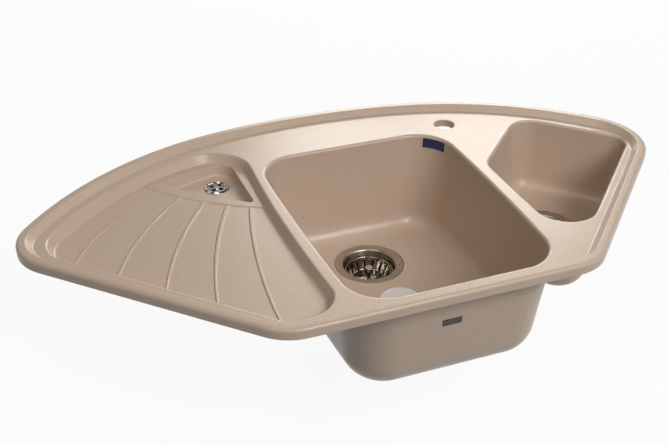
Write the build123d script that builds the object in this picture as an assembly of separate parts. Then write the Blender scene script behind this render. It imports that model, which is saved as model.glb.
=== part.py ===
from build123d import *
import os
from math import acos, atan2, cos, radians, sin, sqrt, tan

# Corner kitchen sink: one composite casting with a deep main bowl, a smaller five-sided bowl and
# a fan-shaped drainer, and the basket wastes and drainer drain that are fitted to it.
# Millimetres. Z = 0 is the worktop that the rim lies on, X = 0 the middle of the front edge and
# Y = 0 the middle of the depth. The straight front edge is at -Y, the curved back at +Y.
# Plan positions below are measured from the middle of the front edge.

# --- plan outline of the rim
sink_depth = 576.5
front_edge = 455.0            # straight front edge, corner to corner before rounding
side_angle = 45.0             # both sides run back from the front edge at this angle
back_middle_radius = 900.0
back_middle_angle = 11.2      # half angle of the flatter middle arc
back_side_radius = 548.0
left_tip_radius = 75.0
right_tip_radius = 100.0
front_corner_radius = 74.0

# --- rim and deck
rim_height = 16.0             # top of the rim above the worktop
rim_top_width = 13.0
rim_slope_width = 10.0
deck_drop = 10.0              # deck below the top of the rim
deck_thickness = 12.0
seat_width = 30.0             # underside of the rim that lies on the worktop
rim_outer_round = 5.0
rim_foot_round = 3.0
rim_under_round = 1.0

# --- main bowl
main_centre_x = 38.6
main_front_inset = 36.0       # front edge of the opening behind the sink's front edge
main_back_inset = 122.5       # back edge of the opening before the middle of the sink's back
main_front_half = 152.0       # half width at the front corners
main_back_half = 160.0
main_side_bow = 4.8           # how far the sides bulge between their corners
main_corner_radius = 61.0
main_base_radius = 52.0       # corners at floor level
main_depth = 166.0            # below the deck
main_floor_round = 30.0
main_under_round = 50.0
main_drain_x = 34.5
main_drain_inset = 107.3      # centre of the drain before the back edge of the opening

# --- small bowl, five-sided: its long side is parallel to the sink's right side
small_left_x = 224.0
small_side_inset = 36.0       # from the sink's right side
small_past_round = 50.1       # its right corner beyond where the rim's tip starts to round
small_back_x = 352.0
small_back_inset = 128.0      # back corner before the middle of the sink's back
small_left_back_inset = 257.0
small_front_radius = 48.0
small_left_radius = 45.0
small_back_radius = 39.0
small_right_radius = 30.0
small_back_bow = 3.0
small_depth = 125.0
small_floor_round = 24.0
small_under_round = 34.0
small_drain_x = 322.0
small_drain_inset = 288.0     # centre of the drain before the middle of the sink's back
small_waste_turn = 180.0      # its side inlet points away from the main bowl

# --- both bowls
bowl_draft = 6.0
bowl_wall = 8.0
bowl_floor_thickness = 9.0
bowl_edge_round = 4.5

# --- tap hole
tap_x = 222.5
tap_inset = 106.0             # before the middle of the sink's back
tap_hole_diameter = 35.0
tap_hole_round = 1.2

# --- drainer: its outline before rounding has four corners
drainer_front_inset = 33.0
drainer_side_inset = 33.5     # from the sink's left side
drainer_past_round = 27.5     # its tip beyond where the rim's tip starts to round
drainer_back_inset = 56.5     # back right corner before the middle of the sink's back
drainer_right_front_x = -131.0
drainer_right_back_x = -129.0
drainer_right_bow = 11.0      # its right edge bulges into the drainer
drainer_back_bow = 48.9
drainer_front_right_radius = 50.0
drainer_front_left_radius = 30.0
drainer_tip_radius = 56.0
drainer_back_radius = 62.0
drainer_drop = 14.0           # platform below the deck
drainer_wall_lean = 8.0
drainer_floor = 9.0
drainer_edge_round = 3.0
drainer_foot_round = 4.0
fan_step = 1.2                # fan floor below the platform
fan_ramp_length = 3.0         # the platform's front edge slopes down to the fan
fan_ramp_height = 1.1

# The rest of the drainer is measured from its sharp back right corner.
fan_edge_start = (-172.0, -61.5)
fan_edge_middle = (-97.0, -138.5)
fan_edge_end = (-22.0, -183.5)

# --- drainer ribs: upper end from the back right corner, then where the lower end lies on the left
# side as a share of its length from the front left corner, then how far the rib bows on its way
rib_paths = [
    ((-153.0, -82.0), 0.859, 17.1),
    ((-128.0, -109.5), 0.675, 13.0),
    ((-98.0, -137.0), 0.479, 10.3),
    ((-68.0, -159.5), 0.277, 9.4),
    ((-37.0, -179.5), 0.041, 9.4),
]
rib_upper_width = 7.0
rib_lower_width = 3.2
rib_height = 1.8
rib_round = 0.8
rib_bury = 1.8                # rib goes this far into the fan floor
rib_end_inset = 12.0          # its lower end inside the drainer's left side

# --- triangular recess for the drainer drain, corners before rounding
recess_left = (-150.0, -62.5)
recess_apex = (-27.0, -21.5)
recess_front = (-27.0, -169.5)
recess_back_bow = 5.0
recess_left_radius = 8.0
recess_apex_radius = 26.0
recess_front_radius = 6.0
recess_drop = 18.0            # below the platform
recess_wall_lean = 3.0
recess_ramp_length = 29.0
recess_floor_round = 2.5
grille_offset = (-62.0, -71.5)
grille_hole_diameter = 32.0

# --- basket waste, the same kit in both bowls
flange_diameter = 113.0
flange_clearance = 1.0
flange_steel = 1.2
flange_below_floor = 0.6      # top of the flange under the bowl floor
flange_seal_thickness = 1.0
cup_mouth_radius = 43.0
cup_base_radius = 41.5
cup_depth = 38.0
cup_mouth_round = 4.0
cup_base_round = 5.0
cup_hole_radius = 3.5
cup_hole_circle = 17.0
cup_hole_count = 12
waste_hole_clearance = 0.8
screw_dimple_radius = 7.0
screw_dimple_depth = 3.0
clamp_screw_radius = 3.0
clamp_screw_length = 24.0
clamp_head_radius = 5.6
clamp_head_recess = 0.4       # top of its head under the cup's base
clamp_head_round = 1.0
clamp_tip_round = 0.6
clamp_slot_width = 1.2
clamp_slot_depth = 1.0
clamp_bore_clearance = 0.3
gasket_thickness = 3.0
gasket_width = 9.0
gasket_margin = 1.0           # body flange beyond the gasket
body_flange_thickness = 4.0
body_wall = 3.5
body_inside_radius = 45.6
body_inside_depth = 49.0      # below the bowl floor
body_flange_round = 1.5
body_base_round = 7.0
body_inside_round = 5.0
outlet_root_round = 2.0
outlet_thread_diameter = 47.8
outlet_bore_diameter = 40.0
outlet_length = 42.0
boss_radius = 8.5
boss_gap = 1.0                # between the steel cup and the boss
nut_radius = 5.0
nut_length = 12.0
web_thickness = 3.0
web_height = 12.0
web_bury = 1.0                # web ends inside the outlet's wall
inlet_outer_radius = 9.0
inlet_bore_radius = 6.5
inlet_length = 30.0
inlet_drop = 33.0
hose_collar = 3.0             # collar that stops a hose pushed on a spigot, beyond its wall
hose_collar_length = 2.0

# --- basket strainer
basket_gap = 0.3
basket_rim_radius = 40.6
basket_rim_drop = 12.0        # top of the basket rim under the bowl floor
basket_rim_tube = 1.4
basket_wall_top_radius = 39.0
basket_wall_base_radius = 33.0
basket_steel = 0.9
basket_base_round = 4.0
basket_slot_count = 16
basket_slot_width = 2.6
basket_slot_inner = 21.0
basket_slot_top = 7.0         # slots end this far under the rim
basket_slot_over = 1.0        # slots cut this far past the basket's base
stopper_radius = 27.0
stopper_thickness = 4.0
stopper_round = 1.2
knob_radius = 6.8
knob_thickness = 2.6
knob_drop = 7.5               # top of the knob under the bowl floor
knob_neck_radius = 3.4
knob_under_cone = 1.0
knob_neck_round = 2.0
knob_foot_radius = 8.0
knob_foot_height = 2.2
knob_round = 0.8
stem_radius = 2.0
rivet_radius = 4.0
rivet_thickness = 1.0
rivet_recess = 2.0
rivet_room = 1.0              # hollow round the rivet

# --- drainer drain
grille_radius = 20.2
grille_bevel_radius = 16.2
grille_bevel_width = 1.4
grille_bevel_round = 0.5
grille_edge_round = 0.3
grille_spigot_clearance = 0.4
grille_edge = 1.0
grille_height = 2.8
grille_plate_radius = 14.6
grille_plate_level = 1.0
grille_plate_thickness = 1.6
grille_hole_radius = 3.6
grille_hole_circle = 8.8
grille_hole_count = 4
grille_screw_radius = 2.5
grille_screw_head_radius = 4.4
grille_screw_head_height = 1.6
grille_screw_length = 26.0
grille_screw_head_round = 1.0
grille_screw_tip_round = 0.5
screw_slot_width = 1.0
screw_slot_depth = 0.8
drain_seal_thickness = 3.0
drain_seal_width = 6.0
elbow_flange_thickness = 3.0
elbow_inside_radius = 13.0
elbow_wall = 2.8
elbow_ledge_width = 1.5
elbow_depth = 28.0
elbow_inside_round = 3.0
elbow_flange_round = 1.2
elbow_base_round = 4.0
bridge_drop = 1.0             # under the elbow's flange
bridge_width = 8.0
bridge_thickness = 4.0
bridge_hub_height = 8.0
bridge_hub_radius = 5.0
bridge_clearance = 0.2        # at its ends, on the elbow's ledge
elbow_spigot_radius = 10.0
elbow_spigot_bore = 7.5
elbow_spigot_length = 34.0

# --- blank labels
rim_label_width = 40.0
rim_label_height = 16.0
rim_label_drop = 4.5          # below the deck
rim_label_thickness = 0.3
rim_label_glue = 0.2          # between the label and the bowl wall
rim_label_turn = 38.0         # where it sits round the corner, from the right
badge_width = 29.0
badge_height = 10.5
badge_thickness = 1.0
badge_x = 22.5
badge_drop = 62.0             # centre of the badge below the deck
badge_round = 1.0
sticker_radius = 32.5
sticker_thickness = 0.25
sticker_x = 41.5
sticker_y = 235.7

# --- levels worked out from the sizes above
deck_z = rim_height - deck_drop
deck_under_z = deck_z - deck_thickness
main_floor_z = deck_z - main_depth
small_floor_z = deck_z - small_depth
platform_z = deck_z - drainer_drop
fan_z = platform_z - fan_step
recess_z = platform_z - recess_drop
drainer_back_y = sink_depth - drainer_back_inset
grille_x = drainer_right_back_x + grille_offset[0]
grille_y = drainer_back_y + grille_offset[1]
main_back_y = sink_depth - main_back_inset
main_drain_y = main_back_y - main_drain_inset
small_drain_y = sink_depth - small_drain_inset
side_along = Vector(cos(radians(side_angle)), sin(radians(side_angle)))
side_out = Vector(side_along.Y, -side_along.X)
cut_over = 5.0                # how far a cutting solid runs past the face it opens


def polygon_face(corners, radii, bows):
    """Face with rounded corners, named counter-clockwise. An edge bulges outwards by its bow."""
    edges = []
    for i, corner in enumerate(corners):
        start = Vector(*corner)
        end = Vector(*corners[(i + 1) % len(corners)])
        if bows[i]:
            along = (end - start).normalized()
            out = Vector(along.Y, -along.X)
            edges.append(ThreePointArc(start, (start + end) * 0.5 + out * bows[i], end))
        else:
            edges.append(Line(start, end))
    face = make_face(Curve() + edges).face()
    for corner, radius in zip(corners, radii):
        vertex = face.vertices().sort_by_distance(Vector(*corner))[0]
        face = face.fillet_2d(radius, [vertex])
    return face


def grown(face, amount):
    """The face with its outline moved outwards, or inwards if the amount is negative."""
    edges = []
    for edge in offset(face, amount=amount, kind=Kind.ARC).face().outer_wire().edges():
        if edge.geom_type == GeomType.OFFSET:
            edge = ThreePointArc(edge @ 0, edge @ 0.5, edge @ 1)
        edges.append(edge)
    return make_face(Curve() + edges).face()


def between(upper_face, lower_face, top, height):
    """Solid with straight sides between an outline at level top and one a height below it."""
    upper = upper_face.outer_wire().moved(Pos(0, 0, top))
    lower = lower_face.outer_wire().moved(Pos(0, 0, top - height))
    return Solid.make_loft([lower, upper], ruled=True)


def tapered(face, top, height, lean):
    """Solid below a face laid at level top. Its outline draws in by lean over the height."""
    return between(face, grown(face, -lean), top, height)


def prism(face, low, high):
    """Straight solid over a plan face between two levels."""
    return extrude(face.moved(Pos(0, 0, low)), amount=high - low, dir=(0, 0, 1)).solid()


def rounded_below(solid, radius):
    """The solid with the edges of its lowest face rounded."""
    return solid.fillet(radius, solid.edges().group_by(Axis.Z)[0])


def turned(points, rounds=None):
    """Solid of revolution about Z from (radius, z) points, with some corners rounded."""
    face = make_face(Polyline([(r, 0, z) for r, z in points], close=True)).face()
    for index, radius in (rounds or {}).items():
        r, z = points[index]
        vertex = face.vertices().sort_by_distance(Vector(r, 0, z))[0]
        face = face.fillet_2d(radius, [vertex])
    return revolve(face, Axis.Z).solid()


def ring(outer, inner, low, high):
    """Plain ring about Z between two levels."""
    return turned([(inner, low), (outer, low), (outer, high), (inner, high)])


def tube(radius, start, end):
    """Straight round rod between two points."""
    direction = Vector(*end) - Vector(*start)
    return extrude(Plane(origin=start, z_dir=direction) * Circle(radius), amount=direction.length).solid()


# --- outlines in plan
def back_arcs():
    """Right end of the back's flatter middle arc, and the centre of the arc beyond it."""
    turn = radians(back_middle_angle)
    join = Vector(back_middle_radius * sin(turn), sink_depth - back_middle_radius * (1 - cos(turn)))
    return join, join - Vector(sin(turn), cos(turn)) * back_side_radius


def side_length():
    """Length of a slanted side between its sharp corners."""
    start = Vector(front_edge / 2, 0) - back_arcs()[1]
    reach = start.dot(side_along)
    return sqrt(reach ** 2 - start.length ** 2 + back_side_radius ** 2) - reach


def tip_round_start(radius):
    """How far along a slanted side the rounding of its tip starts."""
    tip = beside_right(0, side_length()) - back_arcs()[1]
    back_along = Vector(-tip.Y, tip.X).normalized()
    tip_angle = acos(-side_along.dot(back_along))
    return side_length() - radius / tan(tip_angle / 2)


def beside_right(inset, distance):
    """Point inside the right side, a distance along it from its sharp front corner."""
    return Vector(front_edge / 2, 0) - side_out * inset + side_along * distance


def rim_outline():
    """Plan of the rim: straight front, two slanted sides and a back of three tangent arcs."""
    join, centre = back_arcs()
    corner = beside_right(0, 0)
    tip = beside_right(0, side_length())
    half_turn = (radians(back_middle_angle) + atan2(tip.X - centre.X, tip.Y - centre.Y)) / 2
    middle = centre + Vector(sin(half_turn), cos(half_turn)) * back_side_radius

    def mirrored(point):
        return Vector(-point.X, point.Y)

    edges = [
        Line(mirrored(corner), corner),
        Line(corner, tip),
        ThreePointArc(tip, middle, join),
        ThreePointArc(join, Vector(0, sink_depth), mirrored(join)),
        ThreePointArc(mirrored(join), mirrored(middle), mirrored(tip)),
        Line(mirrored(tip), mirrored(corner)),
    ]
    face = make_face(Curve() + edges).face()
    corners = [
        (corner, front_corner_radius),
        (mirrored(corner), front_corner_radius),
        (tip, right_tip_radius),
        (mirrored(tip), left_tip_radius),
    ]
    for point, radius in corners:
        vertex = face.vertices().sort_by_distance(point)[0]
        face = face.fillet_2d(radius, [vertex])
    return face


def main_opening(inset=0.0, corner_radius=main_corner_radius):
    """Main bowl at deck level, or drawn in: it widens to the back and its sides are bowed."""
    front_half = main_front_half - inset
    back_half = main_back_half - inset
    corners = [
        (main_centre_x - front_half, main_front_inset + inset),
        (main_centre_x + front_half, main_front_inset + inset),
        (main_centre_x + back_half, main_back_y - inset),
        (main_centre_x - back_half, main_back_y - inset),
    ]
    return polygon_face(corners, [corner_radius] * 4, [0, main_side_bow, 0, main_side_bow])


def small_opening():
    """Small bowl at deck level."""
    front = beside_right(small_side_inset, 0)
    front += side_along * ((small_left_x - front.X) / side_along.X)
    right = beside_right(small_side_inset, tip_round_start(right_tip_radius) + small_past_round)
    corners = [
        (front.X, front.Y),
        (right.X, right.Y),
        (small_back_x, sink_depth - small_back_inset),
        (small_left_x, sink_depth - small_left_back_inset),
    ]
    radii = [small_front_radius, small_right_radius, small_back_radius, small_left_radius]
    return polygon_face(corners, radii, [0, small_back_bow, 0, 0])


def drainer_side_point(share, inset=0.0):
    """Point inside the drainer's left side, from 0 at its sharp front left corner to 1 at its tip."""
    start = beside_right(drainer_side_inset, 0)
    start += side_along * ((drainer_front_inset - start.Y) / side_along.Y)
    tip = beside_right(drainer_side_inset, tip_round_start(left_tip_radius) + drainer_past_round)
    point = start + (tip - start) * share - side_out * inset
    return Vector(-point.X, point.Y)


def drainer_point(offset_from_corner):
    """Plan point measured from the drainer's sharp back right corner."""
    return Vector(drainer_right_back_x + offset_from_corner[0], drainer_back_y + offset_from_corner[1])


def drainer_opening():
    """Drainer at deck level."""
    front_left = drainer_side_point(0)
    tip = drainer_side_point(1)
    corners = [
        (front_left.X, front_left.Y),
        (drainer_right_front_x, drainer_front_inset),
        (drainer_right_back_x, drainer_back_y),
        (tip.X, tip.Y),
    ]
    radii = [
        drainer_front_left_radius,
        drainer_front_right_radius,
        drainer_back_radius,
        drainer_tip_radius,
    ]
    return polygon_face(corners, radii, [0, -drainer_right_bow, drainer_back_bow, 0])


def recess_outline():
    """Triangular recess at platform level."""
    corners = [drainer_point(p) for p in (recess_front, recess_apex, recess_left)]
    corners = [(p.X, p.Y) for p in corners]
    radii = [recess_front_radius, recess_apex_radius, recess_left_radius]
    return polygon_face(corners, radii, [0, recess_back_bow, 0])


def fan_platform(opening):
    """Plan of the platform round the recess, a little higher than the fan floor."""
    start = drainer_point(fan_edge_start)
    middle = drainer_point(fan_edge_middle)
    end = drainer_point(fan_edge_end)
    far = Vector(start.X, sink_depth)
    corner = Vector(0, sink_depth)
    near = Vector(0, end.Y)
    edges = [
        ThreePointArc(start, middle, end),
        Line(end, near),
        Line(near, corner),
        Line(corner, far),
        Line(far, start),
    ]
    return (make_face(Curve() + edges) & opening).face()


def rib_outline(upper, side_share, bow):
    """Plan of one rib: a sliver between two arcs, wide at its upper end."""
    start = drainer_point(upper)
    end = drainer_side_point(side_share, rib_end_inset)
    along = (end - start).normalized()
    out = Vector(along.Y, -along.X)
    middle = (start + end) * 0.5 + out * bow
    middle_half = (rib_upper_width + rib_lower_width) / 4
    left = ThreePointArc(
        start + out * (rib_upper_width / 2),
        middle + out * middle_half,
        end + out * (rib_lower_width / 2),
    )
    right = ThreePointArc(
        start - out * (rib_upper_width / 2),
        middle - out * middle_half,
        end - out * (rib_lower_width / 2),
    )
    edges = [left, right, Line(left @ 0, right @ 0), Line(left @ 1, right @ 1)]
    return make_face(Curve() + edges).face()


# --- the casting
def bowl_lean(depth):
    return depth * tan(radians(bowl_draft))


def main_body(wall, height, under_round):
    """Main bowl as a solid whose sides stand out by a wall thickness, from the deck down."""
    upper = main_opening(-wall, main_corner_radius + wall)
    lower = main_opening(bowl_lean(height) - wall, main_base_radius + wall)
    return rounded_below(between(upper, lower, deck_z, height), under_round)


def small_body(wall, height, under_round):
    """Small bowl in the same way."""
    upper = grown(small_opening(), wall) if wall else small_opening()
    return rounded_below(tapered(upper, deck_z, height, bowl_lean(height)), under_round)


def drainer_space(opening):
    """Hollow of the drainer down to the fan floor."""
    height = deck_z - fan_z
    return rounded_below(tapered(opening, deck_z, height, drainer_wall_lean), drainer_foot_round)


def recess_space():
    """Hollow of the recess: its floor comes up to the platform along the side facing the fan."""
    outline = recess_outline()
    hollow = tapered(outline, platform_z, recess_drop, recess_wall_lean)
    hollow = rounded_below(hollow, recess_floor_round)
    start = drainer_point(recess_left)
    end = drainer_point(recess_front)
    along = (end - start).normalized()
    inward = Vector(-along.Y, along.X)
    profile_plane = Plane(
        origin=(start.X, start.Y, platform_z), x_dir=(inward.X, inward.Y, 0), z_dir=(along.X, along.Y, 0)
    )
    down = profile_plane.to_local_coords(Vector(start.X, start.Y, platform_z - 1)).Y
    length = (end - start).length
    room = Polyline(
        [
            (0, 0),
            (recess_ramp_length, down * recess_drop),
            (length, down * recess_drop),
            (length, -down * cut_over),
            (0, -down * cut_over),
        ],
        close=True,
    )
    above_ramp = extrude(profile_plane * make_face(room), amount=length)
    return (hollow & above_ramp).solid()


def deck_edges(solid, opening):
    """Edges where an opening meets the deck."""
    decks = solid.faces().filter_by(Axis.Z).filter_by(lambda f: abs(f.center().Z - deck_z) < 0.01)
    loops = decks.sort_by(SortBy.AREA)[-1].inner_wires()
    middle = opening.moved(Pos(0, 0, deck_z)).bounding_box().center()
    return min(loops, key=lambda loop: (loop.bounding_box().center() - middle).length).edges()


def waste_openings(x, y, floor_z):
    """Round seat for a flange, and the hole for its cup."""
    seat_radius = flange_diameter / 2 + flange_clearance
    seat_depth = flange_below_floor + flange_steel + flange_seal_thickness
    hole_radius = cup_mouth_radius + flange_steel + waste_hole_clearance
    under = -bowl_floor_thickness - cut_over
    seat = ring(seat_radius, 0, -seat_depth, cut_over)
    return Pos(x, y, floor_z) * (seat + ring(hole_radius, 0, under, 0))


def build_moulding():
    outline = rim_outline()
    slab = prism(outline, 0, rim_height)
    slab = slab.fillet(rim_outer_round, slab.edges().group_by(Axis.Z)[-1])
    slab = slab.fillet(rim_under_round, slab.edges().group_by(Axis.Z)[0])
    pan = tapered(grown(outline, -rim_top_width), rim_height, deck_drop, rim_slope_width)
    body = slab - rounded_below(pan, rim_foot_round)
    body += prism(grown(outline, -seat_width), deck_under_z, deck_z)

    main = main_opening()
    small = small_opening()
    drainer = drainer_opening()
    body += main_body(bowl_wall, main_depth + bowl_floor_thickness, main_under_round)
    body += small_body(bowl_wall, small_depth + bowl_floor_thickness, small_under_round)
    tray_height = deck_z - fan_z + drainer_floor
    body += tapered(grown(drainer, bowl_wall), deck_z, tray_height, drainer_wall_lean)
    well = grown(recess_outline(), drainer_floor)
    body += prism(well, recess_z - drainer_floor, platform_z - cut_over)

    body -= main_body(0, main_depth, main_floor_round)
    body -= small_body(0, small_depth, small_floor_round)
    body -= drainer_space(drainer)
    tap = Pos(tap_x, sink_depth - tap_inset) * Circle(tap_hole_diameter / 2).face()
    body -= prism(tap, deck_under_z - cut_over, deck_z)
    rounded = [(main, bowl_edge_round), (small, bowl_edge_round), (drainer, drainer_edge_round)]
    for opening, radius in rounded + [(tap, tap_hole_round)]:
        body = body.solid()
        body = body.fillet(radius, deck_edges(body, opening))

    platform = prism(fan_platform(drainer), fan_z - fan_step, platform_z)
    top_edges = platform.edges().group_by(Axis.Z)[-1]
    front = top_edges.filter_by(GeomType.CIRCLE).sort_by(Edge.length)[-1]
    body += platform.chamfer(fan_ramp_height, fan_ramp_length, [front])
    for path in rib_paths:
        rib = prism(rib_outline(*path), fan_z - rib_bury, fan_z + rib_height)
        body += rib.fillet(rib_round, rib.edges().group_by(Axis.Z)[-1])
    body -= recess_space()
    hole = ring(grille_hole_diameter / 2, 0, -drainer_floor - cut_over, cut_over)
    body -= Pos(grille_x, grille_y, recess_z) * hole
    body -= waste_openings(main_drain_x, main_drain_y, main_floor_z)
    body -= waste_openings(small_drain_x, small_drain_y, small_floor_z)
    return body.solid()


# --- basket waste: built with the bowl floor at Z = 0 and the drain on the Z axis
def flange():
    """Pressed steel flange and cup, with drain holes round the dimple for the clamp screw."""
    top = -flange_below_floor
    base = -cup_depth
    dimple = base - screw_dimple_depth
    bore = clamp_screw_radius + clamp_bore_clearance
    outer = flange_diameter / 2
    lean = screw_dimple_radius + screw_dimple_depth
    points = [
        (outer, top),
        (cup_mouth_radius, top),
        (cup_base_radius, base),
        (lean, base),
        (screw_dimple_radius, dimple),
        (bore, dimple),
        (bore, dimple - flange_steel),
        (screw_dimple_radius + flange_steel / 2, dimple - flange_steel),
        (lean + flange_steel / 2, base - flange_steel),
        (cup_base_radius + flange_steel, base - flange_steel),
        (cup_mouth_radius + flange_steel, top - flange_steel),
        (outer, top - flange_steel),
    ]
    rounds = {
        0: flange_steel / 3,
        1: cup_mouth_round,
        2: cup_base_round,
        9: cup_base_round + flange_steel,
        10: cup_mouth_round - flange_steel,
    }
    solid = turned(points, rounds)
    for turn in range(cup_hole_count):
        at = Rot(0, 0, turn * 360 / cup_hole_count) * Pos(cup_hole_circle, 0, base)
        solid -= at * Cylinder(cup_hole_radius, 4 * flange_steel)
    return solid.solid()


def flange_seal():
    top = -flange_below_floor - flange_steel
    inner = cup_mouth_radius + cup_mouth_round
    return ring(flange_diameter / 2 - flange_clearance, inner, top - flange_seal_thickness, top)


def gasket():
    top = -bowl_floor_thickness
    return ring(body_inside_radius + gasket_width, body_inside_radius, top - gasket_thickness, top)


def boss_top():
    return -cup_depth - screw_dimple_depth - flange_steel - boss_gap


def outlet_end():
    return -body_inside_depth - body_wall - outlet_length


def waste_body():
    """Plastic body: flange under the gasket, cup, threaded outlet, screw boss on a web, side inlet."""
    top = -bowl_floor_thickness - gasket_thickness
    flange_under = top - body_flange_thickness
    inside_floor = -body_inside_depth
    outside_floor = inside_floor - body_wall
    inside = body_inside_radius
    outside = inside + body_wall
    flange_outer = inside + gasket_width + gasket_margin
    points = [
        (inside, top),
        (flange_outer, top),
        (flange_outer, flange_under),
        (outside, flange_under),
        (outside, outside_floor),
        (outlet_thread_diameter / 2, outside_floor),
        (outlet_thread_diameter / 2, outlet_end()),
        (outlet_bore_diameter / 2, outlet_end()),
        (outlet_bore_diameter / 2, inside_floor),
        (inside, inside_floor),
    ]
    rounds = {
        3: body_flange_round,
        4: body_base_round,
        5: outlet_root_round,
        8: outlet_root_round,
        9: body_inside_round,
    }
    solid = turned(points, rounds)
    boss_end = outside_floor - web_height
    web_reach = outlet_bore_diameter / 2 + web_bury
    web = Box(2 * web_reach, web_thickness, web_height) + Box(web_thickness, 2 * web_reach, web_height)
    solid += Pos(0, 0, boss_end + web_height / 2) * web
    solid += ring(boss_radius, nut_radius, boss_end, boss_top())
    solid -= ring(nut_radius, 0, boss_end - cut_over, boss_top())
    start = Vector(-(inside + body_wall / 2), 0, -inlet_drop)
    collar_end = Vector(-(outside + hose_collar_length), 0, -inlet_drop)
    end = Vector(-(outside + inlet_length), 0, -inlet_drop)
    solid += tube(inlet_outer_radius, start, end)
    solid += tube(inlet_outer_radius + hose_collar, start, collar_end)
    solid -= tube(inlet_bore_radius, Vector(-inside + body_wall, 0, -inlet_drop), end)
    return solid.solid()


def clamp_screw():
    """Pan head in the cup's dimple, shank down into the nut."""
    seat = -cup_depth - screw_dimple_depth
    head_top = seat + screw_dimple_depth - clamp_head_recess
    points = [
        (0, head_top),
        (clamp_head_radius, head_top),
        (clamp_head_radius, seat),
        (clamp_screw_radius, seat),
        (clamp_screw_radius, seat - clamp_screw_length),
        (0, seat - clamp_screw_length),
    ]
    solid = turned(points, {1: clamp_head_round, 4: clamp_tip_round})
    slot = Box(2 * clamp_head_radius, clamp_slot_width, 2 * clamp_slot_depth)
    return (solid - Pos(0, 0, head_top) * slot).solid()


def clamp_nut():
    return ring(nut_radius, clamp_screw_radius, boss_top() - nut_length, boss_top())


# --- basket strainer, seated on the cup's base
def stopper_base():
    return -cup_depth + basket_gap


def basket():
    """Pressed basket with a rolled rim and radial slots."""
    base = stopper_base() + stopper_thickness
    rim_z = -basket_rim_drop - basket_rim_tube
    steel = basket_steel
    points = [
        (basket_wall_top_radius, rim_z),
        (basket_wall_base_radius, base),
        (stem_radius, base),
        (stem_radius, base + steel),
        (basket_wall_base_radius - steel, base + steel),
        (basket_wall_top_radius - steel, rim_z),
    ]
    solid = turned(points, {1: basket_base_round, 4: basket_base_round - steel})
    slot_length = basket_rim_radius - basket_slot_inner
    slot_base = base - basket_slot_over
    slot_height = -basket_rim_drop - basket_slot_top - slot_base
    slot = Pos(basket_slot_inner + slot_length / 2, 0, slot_base + slot_height / 2)
    slot *= Box(slot_length, basket_slot_width, slot_height)
    for turn in range(basket_slot_count):
        solid -= Rot(0, 0, (turn + 0.5) * 360 / basket_slot_count) * slot
    roll = Pos(basket_rim_radius - basket_rim_tube, 0, rim_z) * (Plane.XZ * Circle(basket_rim_tube))
    solid += revolve(roll, Axis.Z)
    return solid.solid()


def stopper():
    """Rubber disc that closes the cup's holes, hollowed for the rivet under it."""
    base = stopper_base()
    top = base + stopper_thickness
    points = [
        (stem_radius, top),
        (stopper_radius, top),
        (stopper_radius, base),
        (rivet_radius + rivet_room, base),
        (rivet_radius + rivet_room, base + rivet_recess),
        (stem_radius, base + rivet_recess),
    ]
    return turned(points, {1: stopper_round, 2: stopper_round})


def knob():
    """Turned knob whose stem goes through basket and stopper and is riveted below them."""
    top = -knob_drop
    foot_base = stopper_base() + stopper_thickness + basket_steel
    foot_top = foot_base + knob_foot_height
    rivet_top = stopper_base() + rivet_recess
    points = [
        (0, top),
        (knob_radius, top),
        (knob_radius, top - knob_thickness),
        (knob_neck_radius, top - knob_thickness - knob_under_cone),
        (knob_neck_radius, foot_top),
        (knob_foot_radius, foot_top),
        (knob_foot_radius, foot_base),
        (stem_radius, foot_base),
        (stem_radius, rivet_top),
        (rivet_radius, rivet_top),
        (rivet_radius, rivet_top - rivet_thickness),
        (0, rivet_top - rivet_thickness),
    ]
    return turned(points, {1: knob_round, 2: knob_round, 4: knob_neck_round, 5: knob_round})


# --- drainer drain: built with the recess floor at Z = 0 and the drain on the Z axis
def grille():
    """Chrome ring with a raised bevel round a plate with four holes."""
    plate_under = grille_plate_level - grille_plate_thickness
    spigot = grille_hole_diameter / 2 - grille_spigot_clearance
    points = [
        (grille_screw_radius, grille_plate_level),
        (grille_plate_radius, grille_plate_level),
        (grille_bevel_radius, grille_height),
        (grille_bevel_radius + grille_bevel_width, grille_height),
        (grille_radius, grille_edge),
        (grille_radius, 0),
        (spigot, 0),
        (spigot, plate_under),
        (grille_screw_radius, plate_under),
    ]
    solid = turned(points, {2: grille_bevel_round, 3: grille_bevel_round, 4: grille_edge_round})
    for turn in range(grille_hole_count):
        at = Rot(0, 0, (turn + 0.5) * 360 / grille_hole_count) * Pos(grille_hole_circle, 0, 0)
        solid -= at * Cylinder(grille_hole_radius, 4 * grille_plate_thickness)
    return solid.solid()


def grille_screw():
    head_top = grille_plate_level + grille_screw_head_height
    end = grille_plate_level - grille_screw_length
    points = [
        (0, head_top),
        (grille_screw_head_radius, head_top),
        (grille_screw_head_radius, grille_plate_level),
        (grille_screw_radius, grille_plate_level),
        (grille_screw_radius, end),
        (0, end),
    ]
    solid = turned(points, {1: grille_screw_head_round, 4: grille_screw_tip_round})
    slot = Box(2 * grille_screw_head_radius, screw_slot_width, 2 * screw_slot_depth)
    return (solid - Pos(0, 0, head_top) * slot).solid()


def drain_seal():
    inner = grille_hole_diameter / 2
    return ring(inner + drain_seal_width, inner, -drainer_floor - drain_seal_thickness, -drainer_floor)


def bridge_top():
    return -drainer_floor - drain_seal_thickness - elbow_flange_thickness - bridge_drop


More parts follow.
